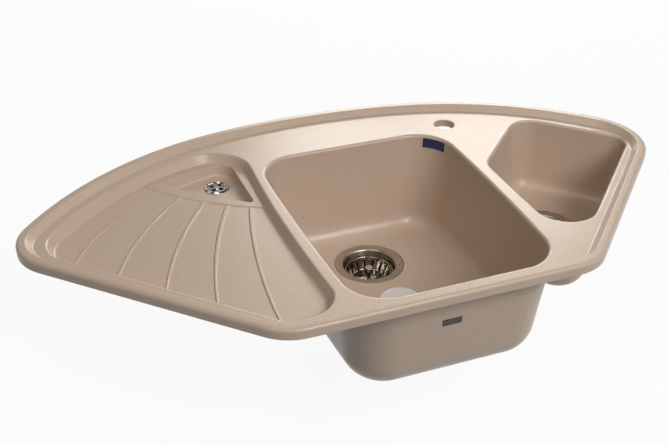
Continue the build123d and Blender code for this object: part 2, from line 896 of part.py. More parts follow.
def elbow():
    """Plastic cup under the recess with a ledge for the bridge and a spigot to the front."""
    top = -drainer_floor - drain_seal_thickness
    flange_under = top - elbow_flange_thickness
    ledge = bridge_top() - bridge_thickness
    inside = elbow_inside_radius
    outside = inside + elbow_ledge_width + elbow_wall
    inside_floor = top - elbow_depth
    outer_flange = grille_hole_diameter / 2 + drain_seal_width
    points = [
        (0, inside_floor),
        (inside, inside_floor),
        (inside, ledge),
        (inside + elbow_ledge_width, ledge),
        (inside + elbow_ledge_width, top),
        (outer_flange, top),
        (outer_flange, flange_under),
        (outside, flange_under),
        (outside, inside_floor - elbow_wall),
        (0, inside_floor - elbow_wall),
    ]
    solid = turned(points, {1: elbow_inside_round, 7: elbow_flange_round, 8: elbow_base_round})
    level = inside_floor + elbow_spigot_radius - elbow_wall / 2
    start = Vector(0, -inside - elbow_ledge_width, level)
    collar_end = Vector(0, -(outside + hose_collar_length), level)
    end = Vector(0, -(outside + elbow_spigot_length), level)
    solid += tube(elbow_spigot_radius, start, end)
    solid += tube(elbow_spigot_radius + hose_collar, start, collar_end)
    solid -= tube(elbow_spigot_bore, Vector(0, -inside / 2, level), end)
    return solid.solid()


def bridge():
    """Brass bar across the elbow that the grille's screw draws up."""
    half = elbow_inside_radius + elbow_ledge_width - bridge_clearance
    bar = Box(2 * half, bridge_width, bridge_thickness) & Cylinder(half, bridge_thickness)
    bar = Pos(0, 0, bridge_top() - bridge_thickness / 2) * bar
    hub_end = bridge_top() - bridge_hub_height
    solid = bar + ring(bridge_hub_radius, 0, hub_end, bridge_top())
    return (solid - ring(grille_screw_radius, 0, hub_end - cut_over, bridge_top() + cut_over)).solid()


# --- blank labels
def rim_label():
    """Thin label that follows the rounded back right corner of the main bowl."""
    wall = main_body(-rim_label_glue, main_depth, main_floor_round)
    face = main_body(-rim_label_glue - rim_label_thickness, main_depth, main_floor_round)
    corner_x = main_centre_x + main_back_half - main_corner_radius
    corner_y = main_back_y - main_corner_radius
    cut = Box(4 * main_corner_radius, rim_label_width, rim_label_height)
    middle_z = deck_z - rim_label_drop - rim_label_height / 2
    room = Pos(corner_x, corner_y, middle_z) * Rot(0, 0, rim_label_turn) * Pos(2 * main_corner_radius, 0, 0)
    return ((wall - face) & (room * cut)).solid()


def badge():
    """Small plate on the outside of the main bowl's front wall."""
    tilt = radians(bowl_draft)
    wall_y = main_front_inset - bowl_wall + badge_drop * tan(tilt)
    wall = Plane(
        origin=(badge_x, wall_y, deck_z - badge_drop), x_dir=(1, 0, 0), z_dir=(0, -cos(tilt), -sin(tilt))
    )
    plate = extrude(wall * RectangleRounded(badge_width, badge_height, badge_round), amount=badge_thickness)
    return plate.solid()


def floor_sticker():
    return Pos(sticker_x, sticker_y, main_floor_z) * ring(sticker_radius, 0, 0, sticker_thickness)


# --- every node, in the plan frame
moulding = {"sink_moulding": build_moulding()}
labels = {"bowl_rim_label": rim_label(), "front_badge": badge(), "bowl_floor_sticker": floor_sticker()}
waste_kit = {
    "waste_flange": flange(),
    "flange_seal": flange_seal(),
    "waste_gasket": gasket(),
    "waste_body": waste_body(),
    "clamp_screw": clamp_screw(),
    "clamp_nut": clamp_nut(),
    "basket": basket(),
    "basket_stopper": stopper(),
    "basket_knob": knob(),
}
drain_kit = {
    "drainer_grille": grille(),
    "drainer_grille_screw": grille_screw(),
    "drainer_seal": drain_seal(),
    "drainer_elbow": elbow(),
    "drainer_bridge": bridge(),
}
main_waste = Pos(main_drain_x, main_drain_y, main_floor_z)
small_waste = Pos(small_drain_x, small_drain_y, small_floor_z) * Rot(0, 0, small_waste_turn)

nodes = moulding | labels
nodes |= {"main_" + name: main_waste * solid for name, solid in waste_kit.items()}
nodes |= {"small_" + name: small_waste * solid for name, solid in waste_kit.items()}
nodes |= {name: Pos(grille_x, grille_y, recess_z) * solid for name, solid in drain_kit.items()}

os.makedirs("parts", exist_ok=True)
for name, solid in nodes.items():
    export_step(Pos(0, -sink_depth / 2, 0) * solid, "parts/" + name + ".step")
print(len(nodes), "nodes")
print("main drain", main_drain_x, main_drain_y - sink_depth / 2, main_floor_z)
print("small drain", small_drain_x, small_drain_y - sink_depth / 2, small_floor_z)
print("drainer drain", grille_x, grille_y - sink_depth / 2, recess_z)
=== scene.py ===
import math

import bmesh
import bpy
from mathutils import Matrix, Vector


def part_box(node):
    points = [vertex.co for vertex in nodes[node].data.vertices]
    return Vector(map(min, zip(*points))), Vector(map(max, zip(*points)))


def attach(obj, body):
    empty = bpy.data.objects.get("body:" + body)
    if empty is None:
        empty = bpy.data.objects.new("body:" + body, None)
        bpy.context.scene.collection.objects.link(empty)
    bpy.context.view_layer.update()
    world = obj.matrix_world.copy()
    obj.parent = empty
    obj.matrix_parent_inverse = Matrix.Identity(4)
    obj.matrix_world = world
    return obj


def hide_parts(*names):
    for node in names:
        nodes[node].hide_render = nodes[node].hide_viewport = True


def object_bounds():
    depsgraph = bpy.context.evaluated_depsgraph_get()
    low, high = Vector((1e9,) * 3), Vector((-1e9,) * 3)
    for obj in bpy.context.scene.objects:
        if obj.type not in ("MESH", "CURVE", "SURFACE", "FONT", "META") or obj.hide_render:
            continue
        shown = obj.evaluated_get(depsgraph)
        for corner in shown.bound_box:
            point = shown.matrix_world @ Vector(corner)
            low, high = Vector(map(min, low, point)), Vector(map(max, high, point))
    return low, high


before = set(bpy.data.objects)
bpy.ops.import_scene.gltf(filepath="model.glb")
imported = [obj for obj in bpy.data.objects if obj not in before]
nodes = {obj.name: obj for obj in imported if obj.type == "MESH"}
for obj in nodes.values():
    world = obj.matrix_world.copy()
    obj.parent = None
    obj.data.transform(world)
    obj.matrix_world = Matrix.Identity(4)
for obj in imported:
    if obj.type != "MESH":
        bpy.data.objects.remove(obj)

# %% [markdown]
# # A corner kitchen sink
# The sink is one heavy casting of stone grit and resin, with a deep bowl, a small side bowl and a
# fan-shaped drainer. Steel basket wastes sit in both bowls, and a small chrome grille drains the
# drainer. The casting comes from the CAD frame as it is, because every curve of it is a real
# size. This lesson gives it its speckled finish, makes the thin pressed and threaded pieces that
# a solid model leaves plain, and lights the whole as a studio would.

MM = 0.001
cad_low, cad_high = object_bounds()
print("CAD box", [round(v, 4) for v in (*cad_low, *cad_high)], "nodes", len(nodes))

# %% [markdown]
# ## The camera
# The photographer stood to the left of the middle and looked down at about 32 degrees. A long
# lens keeps the far edge nearly as large as the near one. The camera's own axes are worked out
# from those angles, and a small shift of the aim puts the sink a little right of the middle.

# %% Camera
IMAGE_WIDTH = 668
FOCAL_PIXELS = 1043.86
VIEW_AZIMUTH = math.radians(-21.531)
VIEW_ELEVATION = math.radians(31.588)
VIEW_ROLL = math.radians(0.481)
VIEW_DISTANCE = 1.57251
AIM = Vector((0.0, -0.00825, 0.016))
AIM_RIGHT = 34.2 / FOCAL_PIXELS * VIEW_DISTANCE
AIM_UP = 28.594 / FOCAL_PIXELS * VIEW_DISTANCE


def camera_axes():
    back = Vector((
        math.sin(VIEW_AZIMUTH) * math.cos(VIEW_ELEVATION),
        -math.cos(VIEW_AZIMUTH) * math.cos(VIEW_ELEVATION),
        math.sin(VIEW_ELEVATION),
    ))
    level = Vector((0, 0, 1)).cross(back).normalized()
    upright = back.cross(level)
    right = level * math.cos(VIEW_ROLL) + upright * math.sin(VIEW_ROLL)
    up = upright * math.cos(VIEW_ROLL) - level * math.sin(VIEW_ROLL)
    return right, up, back


right, up, back = camera_axes()
camera_data = bpy.data.cameras.new("photo_camera")
camera_data.sensor_width = 36.0
camera_data.lens = FOCAL_PIXELS / IMAGE_WIDTH * camera_data.sensor_width
camera_data.clip_start = 0.05
camera_data.clip_end = 60.0
camera = bpy.data.objects.new("photo_camera", camera_data)
camera.matrix_world = Matrix((
    (right.x, up.x, back.x, 0),
    (right.y, up.y, back.y, 0),
    (right.z, up.z, back.z, 0),
    (0, 0, 0, 1),
))
camera.location = AIM + back * VIEW_DISTANCE - right * AIM_RIGHT - up * AIM_UP
bpy.context.scene.collection.objects.link(camera)
bpy.context.scene.camera = camera
bpy.context.scene.view_settings.view_transform = "Standard"
print("lens", round(camera_data.lens, 2), "mm, camera at", [round(v, 3) for v in camera.location])

# %% [markdown]
# ## Node trees from Python
# Every material and every geometry tree below is built from the same few helpers. An input can be a
# plain value or the output of another node, so that a tree reads from top to bottom.


# %% Helpers for node trees
def add(tree, kind, settings=None, **inputs):
    """Adds a node. Settings are its properties; inputs are values or sockets, by socket name."""
    node = tree.nodes.new(kind)
    for name, value in (settings or {}).items():
        setattr(node, name, value)
    for name, value in inputs.items():
        feed(tree, node, name.replace("_", " "), value)
    return node


def feed(tree, node, name, value):
    """Sets the first enabled input with this name, or links a socket to it."""
    socket = next(s for s in node.inputs if s.name == name and s.enabled)
    if isinstance(value, bpy.types.NodeSocket):
        tree.links.new(value, socket)
    else:
        socket.default_value = value


def calculate(tree, operation, first, second):
    """A Math node on two values or sockets."""
    node = add(tree, "ShaderNodeMath", {"operation": operation})
    for socket, value in zip(node.inputs, (first, second)):
        if isinstance(value, bpy.types.NodeSocket):
            tree.links.new(value, socket)
        else:
            socket.default_value = value
    return node.outputs[0]


def group_socket(tree, name, in_out, kind, default=None, low=None, high=None):
    socket = tree.interface.new_socket(name, in_out=in_out, socket_type=kind)
    if default is not None:
        socket.default_value = default
    if low is not None:
        socket.min_value, socket.max_value = low, high
    return socket


def linear(*channels):
    """Linear colour from 0 to 255 values as an image shows them."""
    scaled = [c / 255 for c in channels]
    return tuple(c / 12.92 if c <= 0.04045 else ((c + 0.055) / 1.055) ** 2.4 for c in scaled) + (1.0,)


# %% [markdown]
# ## Shared surface effects
# Two effects turn up in several finishes. Grit is the fine speckle of a cast or moulded surface:
# a light and dark mottle, sparse darker flecks, and a tiny height. Handling marks are the faint
# long scratches and smears that break up a reflection. Each is one shader group that gives out
# masks, so that every material mixes them in its own strength.


# %% Shader group: grit
def make_grit():
    tree = bpy.data.node_groups.new("grit", "ShaderNodeTree")
    group_socket(tree, "Grain size", "INPUT", "NodeSocketFloat", 0.0012)
    group_socket(tree, "Fleck size", "INPUT", "NodeSocketFloat", 0.006)
    group_socket(tree, "Fleck share", "INPUT", "NodeSocketFloat", 0.1)
    group_socket(tree, "Mottle", "OUTPUT", "NodeSocketFloat")
    group_socket(tree, "Flecks", "OUTPUT", "NodeSocketFloat")
    group_socket(tree, "Cloud", "OUTPUT", "NodeSocketFloat")
    given = add(tree, "NodeGroupInput")
    out = add(tree, "NodeGroupOutput")
    place = add(tree, "ShaderNodeTexCoord").outputs["Object"]
    fine = calculate(tree, "DIVIDE", 1.0, given.outputs["Grain size"])
    mottle = add(tree, "ShaderNodeTexNoise", Vector=place, Scale=fine, Detail=3.0, Roughness=0.7)
    coarse = calculate(tree, "DIVIDE", 1.0, given.outputs["Fleck size"])
    cells = add(tree, "ShaderNodeTexVoronoi", Vector=place, Scale=coarse)
    chosen = add(tree, "ShaderNodeSeparateColor", Color=cells.outputs["Color"])
    pick = calculate(tree, "LESS_THAN", chosen.outputs[0], given.outputs["Fleck share"])
    spot = add(
        tree, "ShaderNodeMapRange", Value=cells.outputs["Distance"],
        From_Min=FLECK_CORE, From_Max=FLECK_EDGE, To_Min=1.0, To_Max=0.0,
    )
    cloud = add(tree, "ShaderNodeTexNoise", Vector=place, Scale=CLOUDS_PER_METRE, Detail=2.0, Roughness=0.5)
    tree.links.new(mottle.outputs[0], out.inputs["Mottle"])
    tree.links.new(calculate(tree, "MULTIPLY", pick, spot.outputs[0]), out.inputs["Flecks"])
    tree.links.new(cloud.outputs[0], out.inputs["Cloud"])
    return tree


FLECK_CORE = 0.1
FLECK_EDGE = 0.24
CLOUDS_PER_METRE = 9.0
grit = make_grit()
print("group", grit.name, "gives", [s.name for s in grit.interface.items_tree if s.in_out == "OUTPUT"])


# %% Shader group: handling marks
def make_handling_marks():
    tree = bpy.data.node_groups.new("handling_marks", "ShaderNodeTree")
    group_socket(tree, "Stretch", "INPUT", "NodeSocketVector", (1.0, 1.0, 8.0))
    group_socket(tree, "Fineness", "INPUT", "NodeSocketFloat", 900.0)
    group_socket(tree, "Scratches", "OUTPUT", "NodeSocketFloat")
    group_socket(tree, "Smears", "OUTPUT", "NodeSocketFloat")
    given = add(tree, "NodeGroupInput")
    out = add(tree, "NodeGroupOutput")
    place = add(tree, "ShaderNodeTexCoord").outputs["Object"]
    drawn = add(tree, "ShaderNodeVectorMath", {"operation": "MULTIPLY"})
    tree.links.new(place, drawn.inputs[0])
    tree.links.new(given.outputs["Stretch"], drawn.inputs[1])
    scratches = add(
        tree, "ShaderNodeTexNoise", Vector=drawn.outputs[0], Scale=given.outputs["Fineness"],
        Detail=2.0, Roughness=0.6,
    )
    smears = add(
        tree, "ShaderNodeTexNoise", Vector=place, Scale=SMEARS_PER_METRE,
        Detail=4.0, Roughness=0.55,
    )
    tree.links.new(scratches.outputs[0], out.inputs["Scratches"])
    tree.links.new(smears.outputs[0], out.inputs["Smears"])
    return tree


SMEARS_PER_METRE = 70.0
marks = make_handling_marks()
print("group", marks.name, "ready")

# %% [markdown]
# ## Finishes
# A small function makes a material with one Principled BSDF. What is the same all over, such as
# metalness or coat, is set on the shader's own sockets. What varies, such as speckle, goes
# through a mix, and a Bump node turns the same masks into a slight relief.


# %% Helpers for finishes
def new_finish(name, **values):
    material = bpy.data.materials.new(name)
    material.use_nodes = True
    tree = material.node_tree
    shader = tree.nodes["Principled BSDF"]
    for socket, value in values.items():
        shader.inputs[socket.replace("_", " ")].default_value = value
    return material, tree, shader


def place_group(tree, group, **inputs):
    node = tree.nodes.new("ShaderNodeGroup")
    node.node_tree = group
    for name, value in inputs.items():
        node.inputs[name.replace("_", " ")].default_value = value
    return node


def remap(tree, value, low, high, from_low=0.35, from_high=0.65):
    """A smooth value taken from one range to another; a noise mostly lies between 0.35 and 0.65."""
    node = add(
        tree, "ShaderNodeMapRange", Value=value,
        From_Min=from_low, From_Max=from_high, To_Min=low, To_Max=high,
    )
    return node.outputs[0]


def blend_colours(tree, factor, first, second):
    """Colour that goes from first to second with the factor."""
    node = tree.nodes.new("ShaderNodeMix")
    node.data_type = "RGBA"
    tree.links.new(factor, node.inputs["Factor"])
    for socket, value in ((node.inputs[6], first), (node.inputs[7], second)):
        if isinstance(value, bpy.types.NodeSocket):
            tree.links.new(value, socket)
        else:
            socket.default_value = value
    return node.outputs[2]


def bump(tree, height, distance, strength):
    return add(tree, "ShaderNodeBump", Strength=strength, Distance=distance, Height=height).outputs[0]


# %% [markdown]
# ## The composite stone
# The casting is beige grit in resin. Close up it is a fine mottle of lighter and darker grains
# with a few reddish flecks, and its skin is satin: smooth enough for soft highlights on edges,
# too rough for an image. The mottle drives colour, roughness and a very low bump together. A cast
# piece has no sharp edge, so a Bevel node turns the normals gently over every edge, and the ribs
# and steps of the drainer catch the light as thin bright lines.


# %% Composite stone
def soft_edges(tree, radius):
    """Normals that turn gently over every edge, as on a cast piece."""
    return add(tree, "ShaderNodeBevel", {"samples": 8}, Radius=radius).outputs[0]


def make_composite():
    material, tree, shader = new_finish("speckled_composite", IOR=1.5)
    speckle = place_group(tree, grit, Grain_size=STONE_GRAIN, Fleck_size=FLECK_SPACING, Fleck_share=0.07)
    grains = remap(tree, speckle.outputs["Mottle"], 0.0, 1.0, 0.34, 0.66)
    body = blend_colours(tree, grains, STONE_DARK, STONE_LIGHT)
    cloud = remap(tree, speckle.outputs["Cloud"], 0.0, 0.22, 0.35, 0.65)
    body = blend_colours(tree, cloud, body, STONE_WARM)
    fleck = remap(tree, speckle.outputs["Flecks"], 0.0, 0.42, 0.0, 1.0)
    body = blend_colours(tree, fleck, body, STONE_FLECK)
    tree.links.new(body, shader.inputs["Base Color"])
    tree.links.new(remap(tree, speckle.outputs["Mottle"], 0.27, 0.35), shader.inputs["Roughness"])
    relief = add(
        tree, "ShaderNodeBump", Strength=0.4, Distance=STONE_RELIEF,
        Height=speckle.outputs["Mottle"], Normal=soft_edges(tree, STONE_EDGE),
    )
    tree.links.new(relief.outputs[0], shader.inputs["Normal"])
    return material


STONE_GRAIN = 1.1 * MM
FLECK_SPACING = 6.2 * MM
STONE_RELIEF = 0.06 * MM
STONE_EDGE = 1.6 * MM
STONE_LIGHT = linear(205, 184, 165)
STONE_DARK = linear(187, 165, 146)
STONE_WARM = linear(198, 172, 150)
STONE_FLECK = linear(150, 104, 78)
composite = make_composite()
print("finish", composite.name)

# %% [markdown]
# ## Metals, rubber, plastic and labels
# The flanges and baskets are pressed stainless steel, and the drainer's grille is chrome plate. All
# get faint scratches and smears, because a perfect mirror looks unreal. The fittings below are
# moulded plastic, rubber and brass, and the labels are blank film and paper.


# %% Metals
def make_metal(name, colour, roughness, scratch, stretch, fineness=900.0):
    material, tree, shader = new_finish(name, Metallic=1.0)
    worn = place_group(tree, marks, Stretch=stretch, Fineness=fineness)
    tone = remap(tree, worn.outputs["Smears"], 0.0, 1.0)
    dull = tuple(c * SMEARED for c in colour[:3]) + (1.0,)
    tree.links.new(blend_colours(tree, tone, dull, colour), shader.inputs["Base Color"])
    rough = remap(tree, worn.outputs["Smears"], roughness * 0.75, roughness * 1.3)
    tree.links.new(rough, shader.inputs["Roughness"])
    tree.links.new(bump(tree, worn.outputs["Scratches"], scratch, 0.6), shader.inputs["Normal"])
    return material


SMEARED = 0.86
polished_steel = make_metal("polished_steel", (0.60, 0.55, 0.49, 1), 0.12, 0.00002, (1, 1, 9))
chrome = make_metal("chrome_plate", (0.62, 0.61, 0.60, 1), 0.12, 0.00001, (1, 1, 4))
screw_steel = make_metal("zinc_screw", (0.50, 0.50, 0.49, 1), 0.32, 0.00003, (6, 1, 1))
brass = make_metal("machined_brass", (0.60, 0.43, 0.20, 1), 0.28, 0.00003, (1, 1, 9), 600.0)
print("metals", [m.name for m in (polished_steel, chrome, screw_steel, brass)])


# %% Painted shade inside the cups
def paint_shade_below(material, level, share):
    """Makes a metal darker below a height, as painted shade inside the cup under the flange."""
    tree = material.node_tree
    colour = tree.nodes["Principled BSDF"].inputs["Base Color"]
    place = add(tree, "ShaderNodeTexCoord").outputs["Object"]
    height = add(tree, "ShaderNodeSeparateXYZ", Vector=place).outputs["Z"]
    # painted shade: the colour is scaled down below the level and fades in over a few millimetres
    depth = remap(tree, height, 1.0, share, level, level - SHADE_FADE)
    dark = add(tree, "ShaderNodeVectorMath", {"operation": "SCALE"}, Scale=depth)
    tree.links.new(colour.links[0].from_socket, dark.inputs[0])
    tree.links.new(dark.outputs[0], colour)


BOWLS = ("main", "small")
FLANGE_STEEL = (0.50, 0.44, 0.38, 1)
SHADE_BELOW_FLANGE = 12.0 * MM
SHADE_FADE = 4.0 * MM
SHADE_FACTOR = 0.2
flange_finish = {}
for bowl in BOWLS:
    flange_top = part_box(bowl + "_waste_flange")[1][2]
    flange_finish[bowl] = make_metal(bowl + "_flange_steel", FLANGE_STEEL, 0.32, 0.00003, (1, 1, 6))
    # painted shade darkens the flange's cup below this level
    paint_shade_below(flange_finish[bowl], flange_top - SHADE_BELOW_FLANGE, SHADE_FACTOR)
print("flange steels", [m.name for m in flange_finish.values()])


# %% Moulded plastic, rubber, film and paper
def make_moulded(name, light, dark, roughness, grain, relief):
    material, tree, shader = new_finish(name)
    speckle = place_group(tree, grit, Grain_size=grain, Fleck_size=0.02, Fleck_share=0.0)
    tone = remap(tree, speckle.outputs["Cloud"], 0.0, 1.0)
    colour = blend_colours(tree, tone, linear(*dark), linear(*light))
    tree.links.new(colour, shader.inputs["Base Color"])
    rough = remap(tree, speckle.outputs["Mottle"], roughness * 0.85, roughness * 1.15)
    tree.links.new(rough, shader.inputs["Roughness"])
    tree.links.new(bump(tree, speckle.outputs["Mottle"], relief, 0.5), shader.inputs["Normal"])
    return material


# name: light colour, dark colour, roughness, grain and relief in metres
MOULDED = {
    "white_plastic": ((226, 226, 222), (214, 213, 207), 0.42, 0.0009, 0.00005),
    "orange_plastic": ((186, 98, 52), (150, 74, 38), 0.40, 0.0009, 0.00005),
    "black_rubber": ((36, 35, 34), (24, 23, 23), 0.62, 0.0006, 0.00008),
    "navy_label_film": ((44, 52, 92), (34, 40, 76), 0.38, 0.0011, 0.00003),
    "dark_badge_film": ((72, 64, 58), (56, 49, 44), 0.34, 0.0011, 0.00003),
    "sticker_paper": ((238, 231, 229), (228, 220, 217), 0.70, 0.0005, 0.00004),
}
moulded = {name: make_moulded(name, *look) for name, look in MOULDED.items()}
print("moulded and printed finishes", list(moulded))

# %% [markdown]
# ## Giving the CAD pieces their finish
# Each piece of the frame keeps its exact mesh. Only the material in its slot is changed. The two
# wastes share their finishes, so a piece is looked up by its name without the bowl in front.

# %% Finishes on the CAD pieces
finish_of = {
    "sink_moulding": composite,
    "bowl_rim_label": moulded["navy_label_film"],
    "front_badge": moulded["dark_badge_film"],
    "bowl_floor_sticker": moulded["sticker_paper"],
    "drainer_grille": chrome,
    "drainer_grille_screw": chrome,
    "drainer_seal": moulded["black_rubber"],
    "drainer_elbow": moulded["orange_plastic"],
    "drainer_bridge": brass,
    "flange_seal": moulded["black_rubber"],
    "waste_gasket": moulded["black_rubber"],
    "waste_body": moulded["white_plastic"],
    "clamp_screw": screw_steel,
    "clamp_nut": brass,
    "basket": polished_steel,
    "basket_stopper": moulded["black_rubber"],
    "basket_knob": polished_steel,
}


def kind_of(name):
    """A node's name without the bowl that it belongs to."""
    first, _, rest = name.partition("_")
    return rest if first in BOWLS else name


for name, piece in nodes.items():
    piece.data.materials.clear()
    kind = kind_of(name)
    finish = flange_finish[name.split("_")[0]] if kind == "waste_flange" else finish_of[kind]
    piece.data.materials.append(finish)
print("finished", len(nodes), "CAD pieces")

# %% [markdown]
# ## Strainer baskets
# Each basket is pressed from thin steel. Slots cut its side into sixteen dished petals that mirror
# the bowl, and its top edge is rolled over. The CAD basket has the slots, but its petals are plain.
# One petal, with its share of the rolled edge and the base, is a small curved sheet that is easy
# to write as a profile swept through one sixteenth of a turn. Geometry Nodes copies it round the
# drain, because that keeps all sixteen alike and the count in one place.

# %% Sizes of the pressed basket
PETALS = 16
SLOT_HALF = 1.4 * MM
SLOT_SHARE = 0.27
PETAL_DISH = 0.6 * MM
STEEL = 0.7 * MM
ROLL_RADIUS = 1.4 * MM
WALL_LEAN = 9.0 * MM
BASE_BEND = 3.5 * MM
SLOT_BELOW_EDGE = 4.5 * MM
SLOT_INNER = 11.0 * MM
BASE_INNER = 3.0 * MM
HAIR = 0.001 * MM
COLUMNS = 9
ROLL_STEPS, WALL_STEPS, BEND_STEPS, BASE_STEPS = 8, 9, 4, 7


def basket_sizes(node):
    """Middle of the drain, outer radius, height of the rolled edge and of the base."""
    low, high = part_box(node)
    middle = ((low[0] + high[0]) / 2, (low[1] + high[1]) / 2, 0.0)
    return middle, (high[0] - low[0]) / 2, high[2], low[2]


print("main basket: radius, top and base", [round(v, 4) for v in basket_sizes("main_basket")[1:]])


# %% The petal's sheet
def basket_profile(outer, top, base):
    """Radius, height and slotted or not, from the outside of the rolled edge to the middle."""
    roll_middle = outer - ROLL_RADIUS
    points = []
    for step in range(ROLL_STEPS + 1):
        turn = math.pi * step / ROLL_STEPS
        points.append((roll_middle + ROLL_RADIUS * math.cos(turn),
                       top - ROLL_RADIUS + ROLL_RADIUS * math.sin(turn)))
    wall_top, floor = points[-1], base + STEEL
    wall_foot = (outer - WALL_LEAN, floor + BASE_BEND)
    for step in range(1, WALL_STEPS + 1):
        share = step / WALL_STEPS
        points.append((wall_top[0] + (wall_foot[0] - wall_top[0]) * share,
                       wall_top[1] + (wall_foot[1] - wall_top[1]) * share))
    for step in range(1, BEND_STEPS + 1):
        turn = math.pi / 2 * step / BEND_STEPS
        points.append((wall_foot[0] - BASE_BEND * (1 - math.cos(turn)),
                       wall_foot[1] - BASE_BEND * math.sin(turn)))
    inner_start = points[-1][0]
    for step in range(1, BASE_STEPS + 1):
        points.append((inner_start + (BASE_INNER - inner_start) * step / BASE_STEPS, floor))
    slotted = [z < top - SLOT_BELOW_EDGE and r > SLOT_INNER for r, z in points]
    return points, slotted


def petal_mesh(name, outer, top, base):
    """One sixteenth of the basket about the drain's axis, without the half slots at its sides."""
    points, slotted = basket_profile(outer, top, base)
    floor = points[-1][1]
    sector = math.pi / PETALS
    mesh = bmesh.new()
    rows = []
    for (radius, height), open_here in zip(points, slotted):
        slot = min(SLOT_HALF / radius, sector * 2 * SLOT_SHARE)
        half = sector - slot
        angles = [half * (2 * c / (COLUMNS - 1) - 1) for c in range(COLUMNS)]
        dish = PETAL_DISH if open_here and height > floor + HAIR else 0.0
        line = []
        for angle in [-sector] + angles + [sector]:
            share = min(abs(angle) / half, 1.0)
            r = radius + dish * (1 - share ** 2)
            line.append(mesh.verts.new((r * math.cos(angle), r * math.sin(angle), height)))
        rows.append(line)
    for row, (a, b) in enumerate(zip(rows, rows[1:])):
        cut = slotted[row] and slotted[row + 1]
        for column in range(COLUMNS + 1):
            if not (cut and column in (0, COLUMNS)):
                mesh.faces.new((a[column], a[column + 1], b[column + 1], b[column]))
    data = bpy.data.meshes.new(name)
    mesh.to_mesh(data)
    mesh.free()
    return data


print("rows in a petal", len(basket_profile(*basket_sizes("main_basket")[1:])[0]))


# %% Geometry Nodes: copies turned about the drain
def set_finish(tree, last, given, out):
    """Ends a tree: the last node's geometry gets the material and goes out."""
    finish = add(
        tree, "GeometryNodeSetMaterial", Geometry=last.outputs[0], Material=given.outputs["Finish"],
    )
    tree.links.new(finish.outputs[0], out.inputs["Geometry"])


def make_turned_copies():
    tree = bpy.data.node_groups.new("turned_copies", "GeometryNodeTree")
    group_socket(tree, "Geometry", "INPUT", "NodeSocketGeometry")
    group_socket(tree, "Count", "INPUT", "NodeSocketInt", 16, 1, 64)
    group_socket(tree, "Middle", "INPUT", "NodeSocketVector")
    group_socket(tree, "Finish", "INPUT", "NodeSocketMaterial")
    group_socket(tree, "Geometry", "OUTPUT", "NodeSocketGeometry")
    given, out = add(tree, "NodeGroupInput"), add(tree, "NodeGroupOutput")
    points = add(tree, "GeometryNodePoints", Count=given.outputs["Count"], Position=given.outputs["Middle"])
    step = calculate(tree, "DIVIDE", math.tau, given.outputs["Count"])
    index = add(tree, "GeometryNodeInputIndex").outputs[0]
    turn = add(tree, "ShaderNodeCombineXYZ", Z=calculate(tree, "MULTIPLY", index, step))
    copies = add(
        tree, "GeometryNodeInstanceOnPoints", Points=points.outputs[0],
        Instance=given.outputs["Geometry"], Rotation=turn.outputs[0],
    )
    real = add(tree, "GeometryNodeRealizeInstances", Geometry=copies.outputs[0])
    joined = add(tree, "GeometryNodeMergeByDistance", Geometry=real.outputs[0], Distance=SEAM)
    set_finish(tree, joined, given, out)
    return tree


def run_nodes(name, mesh, tree, **inputs):
    """Puts a mesh through a tree and gives back the result as a plain object."""
    source = bpy.data.objects.new(name + "_source", mesh)
    bpy.context.scene.collection.objects.link(source)
    modifier = source.modifiers.new("nodes", "NODES")
    modifier.node_group = tree
    for item in tree.interface.items_tree:
        if item.in_out == "INPUT" and item.name in inputs:
            modifier[item.identifier] = inputs[item.name]
    evaluated = source.evaluated_get(bpy.context.evaluated_depsgraph_get())
    result = bpy.data.meshes.new_from_object(evaluated)
    result.name = name
    source.modifiers.clear()
    bpy.data.objects.remove(source)
    piece = bpy.data.objects.new(name, result)
    bpy.context.scene.collection.objects.link(piece)
    return piece


SEAM = 0.02 * MM
turned_copies = make_turned_copies()
print("tree", turned_copies.name, [i.name for i in turned_copies.interface.items_tree])


# %% Both baskets
def thicken(piece, thickness):
    """Gives a sheet its thickness on the far side of its faces, and keeps a plain mesh."""
    modifier = piece.modifiers.new("thickness", "SOLIDIFY")
    modifier.thickness = thickness
    modifier.offset = -1.0
    evaluated = piece.evaluated_get(bpy.context.evaluated_depsgraph_get())
    solid = bpy.data.meshes.new_from_object(evaluated)
    piece.modifiers.clear()
    piece.data = solid
    solid.shade_smooth()
    solid.set_sharp_from_angle(angle=SHARP_ABOVE)


def make_basket(bowl):
    node = bowl + "_basket"
    middle, outer, top, base = basket_sizes(node)
    petal = petal_mesh(bowl + "_petal", outer, top, base)
    piece = run_nodes(
        bowl + "_pressed_basket", petal, turned_copies,
        Count=PETALS, Middle=middle, Finish=basket_steel,
    )
    thicken(piece, STEEL)
    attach(piece, bowl + "_strainer")
    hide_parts(node)
    return piece


SHARP_ABOVE = math.radians(50)
basket_steel = make_metal("basket_steel", (0.44, 0.39, 0.34, 1), 0.15, 0.00001, (1, 1, 6))
baskets = [make_basket(bowl) for bowl in BOWLS]
for piece in baskets:
    print(piece.name, len(piece.data.polygons), "faces")

# %% [markdown]
# ## Threads on the outlets
# The nut of a trap screws onto each outlet, so the moulded tube has a coarse round thread, which
# the solid leaves plain. The thread is a spiral with a round profile, half sunk in the tube.
# Geometry Nodes sweeps it from a few named sizes, so the pitch is one number.


